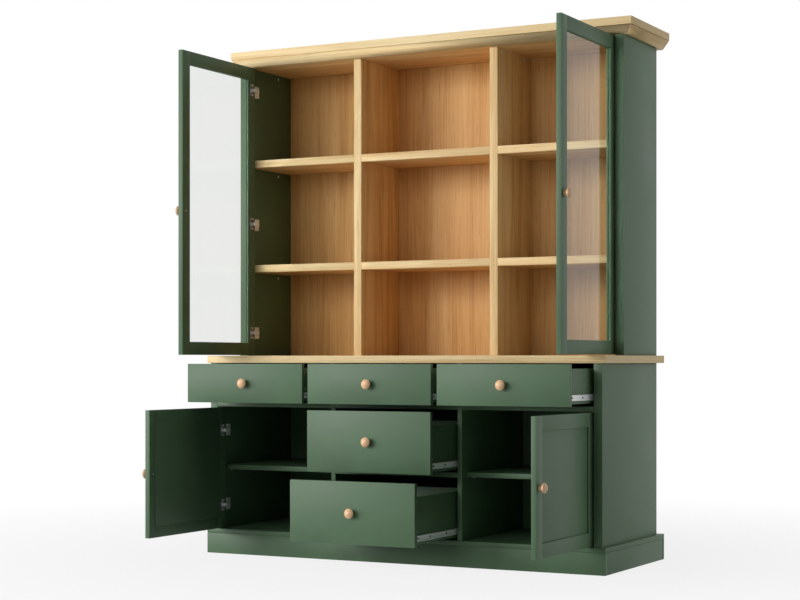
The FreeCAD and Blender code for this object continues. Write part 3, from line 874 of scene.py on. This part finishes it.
@dataclass
class Knob(Repeated):
    """A turned wooden knob: foot, neck, rounded underside and domed face."""

    foot: float = 9.5 * MM
    foot_height: float = 1.2 * MM
    foot_taper: float = 0.3 * MM
    neck: float = 7.5 * MM
    neck_height: float = 7 * MM
    radius: float = 18 * MM
    rim_height: float = 19 * MM
    height: float = 28 * MM
    sides: int = 40
    steps: int = 7

    def profile(self) -> list[Span]:
        """Follow the knob's outline from the foot to the crown.

        Returns:
            Radius and height of each ring.
        """
        curl = self.radius - self.neck
        rise = self.height - self.rim_height
        dome = (self.radius ** 2 + rise ** 2) / (2 * rise)
        rings = [(self.foot, 0.0), (self.foot - self.foot_taper, self.foot_height),
                 (self.neck, self.neck_height)]
        for step in range(self.steps + 1):
            angle = math.pi / 2 * step / self.steps
            rings.append((self.neck + curl * math.sin(angle), self.rim_height - curl * math.cos(angle)))
        for step in range(1, self.steps):
            across = self.radius * (1 - step / self.steps)
            rings.append((across, self.height - dome + math.sqrt(dome ** 2 - across ** 2)))
        return rings

    def model(self) -> Object:
        """Draw the knob up ring by ring from a disc and close its crown.

        Returns:
            The knob.
        """
        deselect_all()
        rings = self.profile()
        bpy.ops.mesh.primitive_circle_add(vertices=self.sides, radius=rings[0][0], fill_type="NGON")
        piece = bpy.context.object
        with editing(piece):
            for (radius, height), (wider, higher) in zip(rings, rings[1:]):
                bpy.ops.mesh.extrude_region_move(TRANSFORM_OT_translate={"value": (0, 0, higher - height)})
                bpy.ops.transform.resize(value=(wider / radius, wider / radius, 1))
            crown = self.height - rings[-1][1]
            bpy.ops.mesh.extrude_region_move(TRANSFORM_OT_translate={"value": (0, 0, crown)})
            bpy.ops.mesh.merge(type="CENTER")
            bpy.ops.mesh.select_all(action="SELECT")
            bpy.ops.mesh.normals_make_consistent(inside=False)
        return piece

    def fit(self, node: str, seat: Point, outwards: Point, body: str) -> None:
        """Copy the knob to its seat on a door or drawer, in place of its solid."""
        settle(self.copies(f"{node}_turned", [(seat, outwards)]), body, Slot.KNOB, node)


@dataclass
class Base(BoardWork):
    """The painted base under the oak counter."""

    plinth_board: float = 18 * MM
    plinth_easing: float = 1.7 * MM
    panel: float = 18 * MM
    peg_easing: float = 0.3 * MM

    def build(self) -> None:
        """Model the base's fixed boards."""
        self.plinth()
        self.carcass()
        self.counter()

    def plinth(self) -> None:
        """Model the skirt round the foot, the bearers inside it and the base board on them."""
        low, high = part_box("plinth_boards")
        thick, half = self.plinth_board, self.plinth_board / 2
        across, up = (low.x, high.x), (low.z, high.z)
        front, rear = (low.y, low.y + thick), (high.y - thick, high.y)
        bearers = [(-half, half)] + mirrored([(high.x - thick, high.x),
                                              (high.x / 2 - half, high.x / 2 + half)])
        limits = stack([across], front, up) + stack([across], rear, up)
        limits += stack(bearers, (front[1], rear[0]), up)
        paint = self.finishes.plain_paint
        self.boards("plinth_skirt", "plinth_boards", paint, limits, easing=self.plinth_easing)
        self.boards("base_floor", "base_board", paint, easing=self.plinth_easing)

    def carcass(self) -> None:
        """Model sides, dividers, decks, rail, shelves and back."""
        paint = self.finishes.paint
        self.ends(Row.LOWER)
        dividers, openings = bays("base_dividers", self.panel, "base_side_right")
        self.boards("base_uprights", "base_dividers", paint, filling("base_dividers", dividers))
        self.boards("deck_boards", "drawer_decks", paint, filling("drawer_decks", openings))
        self.boards("drawer_rail", "centre_rail", paint)
        start, wall = openings[0]
        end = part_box("cupboard_shelves")[1].x
        shelves = mirrored([(start + wall - end, end)])
        self.boards("cupboard_shelf_boards", "cupboard_shelves", paint,
                    filling("cupboard_shelves", shelves))
        self.boards("base_back_panel", "base_back", paint)

    def counter(self) -> None:
        """Model the counter with pale strips along its edges, and the cupboard shelves' pegs."""
        along, deep = Grain.ALONG, Grain.DEEP
        counter = self.boards("oak_counter", "countertop", self.finishes.oak[along])
        self.band(counter, self.finishes.strips[along], FRONT)
        for side in Side:
            self.band(counter, self.finishes.strips[deep], (side.value, 0, 0))
        pegs = pressing("shelf_pins", "shelf_pegs", self.finishes.steel, self.peg_easing)
        settle(pegs, CABINET, Slot.STEEL, "shelf_pins")


@dataclass
class Hutch(BoardWork):
    """The oak-lined hutch on the counter, up to its roof."""

    screws: Screws
    upright: float = 33 * MM
    shelf: float = 29 * MM
    cam_drop: float = 16 * MM
    cam_setbacks: tuple[float, ...] = (33 * MM, 238 * MM)
    cam_scale: float = 1.5

    def build(self) -> None:
        """Model the hutch's fixed boards and the cam heads in them."""
        self.ends(Row.UPPER)
        dividers, openings = bays("hutch_dividers", self.upright, "hutch_side_right")
        oak, bands = self.finishes.oak, self.finishes.bands
        uprights = self.boards("hutch_uprights", "hutch_dividers", oak[Grain.UPRIGHT],
                               filling("hutch_dividers", dividers))
        self.band(uprights, bands[Grain.UPRIGHT], FRONT)
        low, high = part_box("hutch_shelves")
        rows = [(low.z, low.z + self.shelf), (high.z - self.shelf, high.z)]
        limits = [limit for up in rows for limit in stack(openings, (low.y, high.y), up)]
        shelves = self.boards("hutch_shelf_boards", "hutch_shelves", oak[Grain.ALONG], limits)
        self.band(shelves, bands[Grain.ALONG], FRONT)
        self.boards("hutch_back_panel", "hutch_back", self.finishes.oak_back)
        self.boards("hutch_ceiling", "hutch_roof", oak[Grain.ALONG])
        self.cams([rows[0][0], rows[1][0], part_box("hutch_roof")[0].z])

    def cams(self, levels: Sequence[float]) -> None:
        """Model the cam heads that hold shelves and roof to the ends, and the roof to the uprights.

        Args:
            levels: Undersides of the two rows of shelves and of the roof.
        """
        seats: list[Seat] = []
        for side in Side:
            node = f"hutch_side_{side.word}"
            seats += [((side.inner(node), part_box(node)[0].y + setback, level - self.cam_drop),
                       (-side.value, 0, 0)) for level in levels for setback in self.cam_setbacks]
        low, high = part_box("hutch_dividers")
        seats += [((high.x * side.value, low.y + setback, levels[-1] - self.cam_drop), (side.value, 0, 0))
                  for side in Side for setback in self.cam_setbacks]
        self.screws.drive("hutch_cam_heads", seats, CABINET, self.cam_scale)


@dataclass
class Cornice(BoardWork):
    """The mitred oak moulding round the top, with an upright band over a sloped face."""

    depth: float = 44 * MM
    slope_run: float = 26 * MM
    band_height: float = 28.6 * MM
    easing: float = 0.6 * MM
    quirk: float = 3 * MM
    quirk_depth: float = 5 * MM

    def build(self) -> None:
        """Model the mouldings, the cap and the rear board."""
        low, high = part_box("cornice_mouldings")
        front = self.run("cornice_front", low, (high.x, low.y + self.depth, high.z), Vector(FRONT),
                         Grain.ALONG)
        runs = [front]
        for side in Side:
            sign = side.value
            outer = high.x * sign
            run = self.run(f"cornice_{side.word}", (outer, low.y, low.z),
                           (outer - self.depth * sign, high.y, high.z), Vector((sign, 0, 0)), Grain.DEEP)
            self.slice(front, (outer, low.y, 0), (sign, 1, 0))
            self.slice(run, (outer, low.y, 0), (-sign, -1, 0))
            runs.append(run)
        settle(join("cornice_moulding", runs), CABINET, Slot.OAK, "cornice_mouldings")
        for name, node in (("cornice_top_board", "cornice_cap"), ("cornice_rear_board", "cornice_rear")):
            self.boards(name, node, self.finishes.oak[Grain.ALONG])

    def run(self, name: str, corner: Point, opposite: Point, out: Vector, grain: Grain) -> Object:
        """Model one straight run of the moulding, before its mitres are cut.

        Args:
            name: The run's name.
            corner: A lower corner of its block.
            opposite: The corner opposite.
            out: Direction that its face looks in.
            grain: Direction of its grain.

        Returns:
            The run, sloped under its band, eased, and grooved where slope and band meet.
        """
        piece = block(name, corner, opposite)
        line = Vector(opposite) - Vector(corner)
        arris = (Vector(corner) + Vector(opposite)) / 2 + out * self.depth / 2
        arris.z = opposite[2] - self.band_height
        self.slice(piece, arris, out * (arris.z - corner[2]) - Vector((0, 0, self.slope_run)))
        give(piece, self.finishes.strips[grain])
        ease(piece, self.easing)
        along = Vector((abs(out.y), abs(out.x), 0)) * line.length
        carve(piece, block("quirk", arris + out * PAST - along,
                           arris - out * self.quirk_depth + along - Vector((0, 0, self.quirk))))
        smooth(piece)
        return piece

    @staticmethod
    def slice(piece: Object, point: Point, outwards: Point) -> None:
        """Cut a block along a plane through a point, away on its outward side, and close the cut."""
        with editing(piece):
            bpy.ops.mesh.bisect(plane_co=point, plane_no=outwards, use_fill=True, clear_outer=True)


@dataclass
class Door(BoardWork):
    """A framed door on cup hinges, standing open at a right angle."""

    side: Side
    row: Row
    knobs: Knob
    screws: Screws
    frame_width: float = 50 * MM
    frame_easing: float = 0.6 * MM
    rebate: float = 9 * MM
    lip: float = 6 * MM
    panel_easing: float = 0.3 * MM
    cup_half_height: float = 23 * MM
    cup_easing: float = 0.5 * MM
    bore_radius: float = 17.65 * MM
    bore_depth: float = 15 * MM
    bore_sides: int = 48
    flange: float = 1.2 * MM
    flange_screw_offset: float = 19.5 * MM
    recess_radius: float = 5.5 * MM
    recess_depth: float = 2 * MM
    recess_sides: int = 24
    screw_scale: float = 0.9

    @property
    def body(self) -> str:
        """The door's body."""
        return f"{self.row.word}_{self.side.word}_door"

    @property
    def inner(self) -> float:
        """Where the door's inner face stands along X."""
        return self.side.inner(f"{self.body}_frame")

    @property
    def knob_centre(self) -> Span:
        """The knob's centre along Y and Z."""
        low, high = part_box(f"{self.body}_knob")
        return ((low.y + high.y) / 2, (low.z + high.z) / 2)

    def cup_centres(self) -> list[Span]:
        """Centre of each hinge cup along Y and Z."""
        low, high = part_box(f"{self.body}_hinge_cups")
        return [((low.y + high.y) / 2, level) for level in self.cup_levels(low.z, high.z)]

    def cup_levels(self, low: float, high: float) -> list[float]:
        """Heights of the hinges between the cups' lowest and highest point."""
        return [low + self.cup_half_height, high - self.cup_half_height]

    def build(self) -> None:
        """Model the frame, its filling, the knob and the hinges."""
        self.build_frame()
        self.fill()
        self.hang()

    def build_frame(self) -> None:
        """Model stiles and rails, cut the rebate for the filling and bore the stiles."""
        node = f"{self.body}_frame"
        low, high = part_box(node)
        members = [board(f"{self.body}_member_{number}", limits, self.finishes.paint, self.frame_easing)
                   for number, limits in enumerate(ring(low, high, self.frame_width))]
        margin = self.frame_width - self.rebate
        away = self.side.value
        seat = ((self.side.outer(node) - away * self.lip, low.y + margin, low.z + margin),
                (self.inner - away * PAST, high.y - margin, high.z - margin))
        for member in members:
            carve(member, block("seat", *seat))
        free_stile, hinge_stile = members[:2]
        for centre in self.cup_centres():
            self.sink(hinge_stile, centre, self.bore_radius, self.bore_depth, self.bore_sides)
        self.sink(free_stile, self.knob_centre, self.recess_radius, self.recess_depth, self.recess_sides)
        settle(join(f"{self.body}_stiles_and_rails", members), self.body, Slot.PAINT, node)

    def sink(self, member: Object, centre: Span, radius: float, depth: float, sides: int) -> None:
        """Bore a member from the door's inner face, round a centre along Y and Z."""
        start, end = (self.inner + self.side.value * reach for reach in (-PAST, depth))
        carve(member, rod("bore", (start, *centre), (end, *centre), radius, sides))

    def fill(self) -> None:
        """Model the panel behind the frame."""
        self.boards(f"{self.body}_infill", f"{self.body}_panel", self.finishes.plain_paint, body=self.body,
                    easing=self.panel_easing)

    def hang(self) -> None:
        """Model the knob, the hinge cups and the screws of both."""
        knob, cups = f"{self.body}_knob", f"{self.body}_hinge_cups"
        sign = self.side.value
        self.knobs.fit(knob, (self.side.inner(knob), *self.knob_centre), (sign, 0, 0), self.body)
        pressed = pressing(cups, f"{self.body}_cups", self.finishes.cup, self.cup_easing)
        settle(pressed, self.body, Slot.STEEL, cups)
        inwards = (-sign, 0, 0)
        seats = [((self.inner + sign * self.recess_depth, *self.knob_centre), inwards)]
        seats += [((self.inner - sign * self.flange, y, z + offset), inwards)
                  for y, z in self.cup_centres()
                  for offset in (-self.flange_screw_offset, self.flange_screw_offset)]
        self.screws.drive(f"{self.body}_screws", seats, self.body, self.screw_scale)


@dataclass
class GlazedDoor(Door):
    """A hutch door with a pane held by beads."""

    lip: float = 8 * MM
    pane_easing: float = 0.4 * MM
    middle_drop: float = 50 * MM

    def cup_levels(self, low: float, high: float) -> list[float]:
        """Heights of the three hinges; the middle one sits below the door's centre."""
        ends = super().cup_levels(low, high)
        return [ends[0], sum(ends) / 2 - self.middle_drop, ends[1]]

    def fill(self) -> None:
        """Model the pane and its beads."""
        glass, beads = f"{self.body}_glass", f"{self.body}_beads"
        pane = block(f"{self.body}_pane", *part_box(glass))
        give(pane, self.finishes.glass)
        ease(pane, self.pane_easing, segments=1)
        settle(pane, self.body, Slot.GLASS, glass)
        self.boards(f"{self.body}_glazing_beads", beads, self.finishes.paint,
                    ring(*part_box(beads), self.rebate), self.body)


@dataclass
class Drawer(BoardWork):
    """A drawer drawn out on its runners."""

    body: str
    knobs: Knob
    screws: Screws
    wall: float = 12 * MM
    bottom_rise: float = 12 * MM
    bottom: float = 5 * MM
    rail_easing: float = 0.35 * MM
    slot_radius: float = 4 * MM
    slot_stretch: float = 1.9
    slot_sides: int = 20
    slot_setbacks: tuple[float, ...] = (24 * MM, 120 * MM, 250 * MM, 380 * MM)
    cam_setback: float = 11 * MM
    cam_rise: float = 14 * MM
    cam_drop: float = 18 * MM
    cam_scale: float = 1.5

    def build(self) -> None:
        """Model the front, the tray, the drawer's half of the runners, the knob and the fittings."""
        self.boards(f"{self.body}_face", f"{self.body}_front", self.finishes.paint, body=self.body)
        self.tray()
        self.rails()
        self.fix()

    def tray(self) -> None:
        """Model the side walls, the rear wall and the bottom."""
        node = f"{self.body}_box"
        low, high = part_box(node)
        left, right = low.x + self.wall, high.x - self.wall
        floor = low.z + self.bottom_rise
        limits = stack([(low.x, left), (right, high.x)], (low.y, high.y), (low.z, high.z))
        limits += stack([(left, right)], (high.y - self.wall, high.y), (floor + self.bottom, high.z))
        limits += stack([(left, right)], (low.y, high.y), (floor, floor + self.bottom))
        self.boards(f"{self.body}_tray", node, self.finishes.paint, limits, self.body)

    def rails(self) -> None:
        """Model the slide rails with their slots."""
        node = f"{self.body}_slides"
        low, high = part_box(node)
        level = (low.z + high.z) / 2
        rails = pressing(node, f"{self.body}_slide_rails", self.finishes.steel, self.rail_easing)
        for setback in self.slot_setbacks:
            centre = (low.y + setback, level)
            slot = rod("slot", (low.x - PAST, *centre), (high.x + PAST, *centre), self.slot_radius,
                       self.slot_sides)
            with editing(slot):
                bpy.ops.transform.resize(value=(1, self.slot_stretch, 1))
            carve(rails, slot)
        settle(rails, self.body, Slot.STEEL, node)

    def fix(self) -> None:
        """Model the knob, its screw and the fittings that hold the walls to the front."""
        low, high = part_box(f"{self.body}_knob")
        x, z = (low.x + high.x) / 2, (low.z + high.z) / 2
        self.knobs.fit(f"{self.body}_knob", (x, high.y, z), FRONT, self.body)
        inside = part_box(f"{self.body}_front")[1].y
        self.screws.drive(f"{self.body}_knob_screw", [((x, inside, z), REAR)], self.body)
        low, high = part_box(f"{self.body}_box")
        levels = [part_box(f"{self.body}_slides")[1].z + self.cam_rise, high.z - self.cam_drop]
        seats = [((wall, low.y + self.cam_setback, level), (sign, 0, 0))
                 for wall, sign in ((low.x, -1), (high.x, 1)) for level in levels]
        self.screws.drive(f"{self.body}_cam_fittings", seats, self.body, self.cam_scale)


@dataclass
class Ironmongery:
    """The metal on the cabinet: hinge arms with plates, and its half of the runners."""

    finishes: Finishes
    screws: Screws
    plate: float = 3 * MM
    plate_length: float = 44 * MM
    screw_offset: float = 17 * MM
    arm_easing: float = 1.0 * MM
    channel_easing: float = 0.35 * MM

    def build(self, doors: Iterable[Door]) -> None:
        """Model the hinge arms, their plates' screws and the runner channels.

        Args:
            doors: The doors that hang from the arms.
        """
        seats = [seat for door in doors for seat in self.plate_screws(door)]
        self.screws.drive("hinge_plate_screws", seats, CABINET)
        for node, name, finish, easing in (
                ("hinge_arms", "hinge_arm_pressings", self.finishes.hinge, self.arm_easing),
                ("drawer_runners", "runner_channels", self.finishes.steel, self.channel_easing)):
            settle(pressing(node, name, finish, easing), CABINET, Slot.STEEL, node)

    def plate_screws(self, door: Door) -> list[Seat]:
        """Work out where the screws of one door's hinge plates sit.

        Args:
            door: The door that hangs from the plates.

        Returns:
            Each screw's seat and the direction its head faces.
        """
        sign = door.side.value
        face = door.side.inner(f"{door.row.value}_side_{door.side.word}") - sign * self.plate
        # The upper arms reach furthest back; the lower ones stand as far ahead of them as their doors do.
        upper, own = (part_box(f"{row.word}_{door.side.word}_door_frame")[1].y
                      for row in (Row.UPPER, door.row))
        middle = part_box("hinge_arms")[1].y - (upper - own) - self.plate_length / 2
        return [((face, middle, level + offset), (-sign, 0, 0))
                for _, level in door.cup_centres() for offset in (-self.screw_offset, self.screw_offset)]


# Light, floor and camera


@dataclass(frozen=True)
class Softbox:
    """A square lamp: where it hangs, what it points at, its side in metres and its power in watts."""

    name: str
    place: Point
    target: Point
    side: float
    watts: float

    def hang(self) -> None:
        """Add the lamp to the scene."""
        light = bpy.data.lights.new(self.name, "AREA")
        light.size = self.side
        light.energy = self.watts
        lamp = add_object(self.name, light)
        lamp.location = self.place
        lamp.rotation_euler = (Vector(self.place) - Vector(self.target)).to_track_quat("Z", "Y").to_euler()


@dataclass
class Studio:
    """Plain pale floor, soft lamps, white surround and the camera."""

    camera_place: Point = (3.1489, -6.2206, 0.7575)
    camera_turn: float = 27.86
    lens_mm: float = 80.94
    sensor_mm: float = 36.0
    shift_up: float = 0.0753
    ambient: float = 0.07
    floor_size: float = 60.0
    floor_drop: float = 0.2 * MM
    floor_colour: str = "#cacac8"
    floor_roughness: float = 0.9
    glow_reach: Span = (1.0, 3.2)
    glow: Span = (0.84, 1.0)
    softboxes: tuple[Softbox, ...] = (
        Softbox("key_softbox", (-5.0, -7.6, 2.8), (0.0, 0.0, 1.2), 3.2, 430.0),
        Softbox("front_softbox", (-0.9, -8.6, 3.4), (0.0, 0.0, 1.2), 3.0, 120.0),
        Softbox("left_softbox", (-7.9, -4.9, 1.7), (0.0, 0.0, 1.0), 3.2, 280.0),
        Softbox("side_softbox", (4.6, 1.5, 1.4), (0.8, 0.0, 1.4), 2.4, 40.0),
        Softbox("top_softbox", (0.0, -0.6, 5.0), (0.0, 0.0, 0.0), 3.0, 20.0))

    def build(self) -> None:
        """Set up the view and the light."""
        bpy.context.scene.view_settings.view_transform = "Standard"
        self.camera()
        self.floor()
        self.surround()
        for softbox in self.softboxes:
            softbox.hang()

    def camera(self) -> None:
        """Stand the camera at the photograph's viewpoint, level, with the lens shifted up."""
        camera = bpy.data.cameras.new("view")
        camera.sensor_width = self.sensor_mm
        camera.lens = self.lens_mm
        camera.shift_y = self.shift_up
        eye = add_object("view", camera)
        eye.location = self.camera_place
        eye.rotation_euler = (math.radians(90), 0, math.radians(self.camera_turn))
        bpy.context.scene.camera = eye

    @staticmethod
    def seen(tree: NodeTree) -> NodeSocket:
        """Tell what the eye, a gloss or a pane sees from what only lights the piece.

        Args:
            tree: The node tree to add to.

        Returns:
            One for a ray that sees, and nought for the rest.
        """
        rays = add_node(tree, "LightPath").outputs
        either = rays["Is Camera Ray"]
        for kind in ("Is Glossy Ray", "Is Transmission Ray"):
            either = add_node(tree, "Math", {0: either, 1: rays[kind]}, operation="MAXIMUM").outputs[0]
        return either

    def floor(self) -> None:
        """Lay a wide pale floor that glows white further out and takes the shadow near the piece."""
        deselect_all()
        bpy.ops.mesh.primitive_plane_add(size=self.floor_size, location=(0, 0, -self.floor_drop))
        floor = bpy.context.object
        floor.name = "studio_floor"
        material, shader, place = new_material("studio_floor_paper")
        tree = material.node_tree
        set_inputs(shader, {"Base Color": linear(self.floor_colour), "Roughness": self.floor_roughness})
        white = add_node(tree, "Emission", {"Color": linear(WHITE), "Strength": 1.0})
        away = add_node(tree, "VectorMath", {0: place}, operation="LENGTH")
        fade = add_node(tree, "MapRange", {
            "Value": away.outputs["Value"], "From Min": self.glow_reach[0], "From Max": self.glow_reach[1],
            "To Min": self.glow[0], "To Max": self.glow[1]})
        share = add_node(tree, "Math", {0: self.seen(tree), 1: fade.outputs["Result"]},
                         operation="MULTIPLY")
        mix = add_node(tree, "MixShader", {
            0: share.outputs[0], 1: shader.outputs["BSDF"], 2: white.outputs[0]})
        set_inputs(tree.nodes["Material Output"], {"Surface": mix.outputs[0]})
        give(floor, material)

    def surround(self) -> None:
        """Make the surround white to the eye and a soft ambient light to the piece."""
        world = bpy.data.worlds.new("studio_surround")
        world.use_nodes = True
        tree = world.node_tree
        tree.nodes.clear()
        strength = add_node(tree, "MapRange", {
            "Value": self.seen(tree), "To Min": self.ambient, "To Max": 1.0})
        light = add_node(tree, "Background", {
            "Color": linear(WHITE), "Strength": strength.outputs["Result"]})
        add_node(tree, "OutputWorld", {"Surface": light.outputs[0]})
        bpy.context.scene.world = world


def main() -> None:
    """Build the furniture and the studio, in order."""
    logging.basicConfig(level=logging.INFO, format="%(message)s")
    finishes = Finishes()
    knobs = Knob(finishes.knob)
    screws = Screws(finishes.screw)
    Base(finishes).build()
    Hutch(finishes, screws).build()
    Cornice(finishes).build()
    doors = [kind(finishes, side, row, knobs, screws)
             for side in Side for kind, row in ((GlazedDoor, Row.UPPER), (Door, Row.LOWER))]
    for door in doors:
        door.build()
    for body in DRAWERS:
        Drawer(finishes, body, knobs, screws).build()
    Ironmongery(finishes, screws).build(doors)
    for fitting in (knobs, screws):
        fitting.put_away()
    Studio().build()


if __name__ == "__main__":
    main()
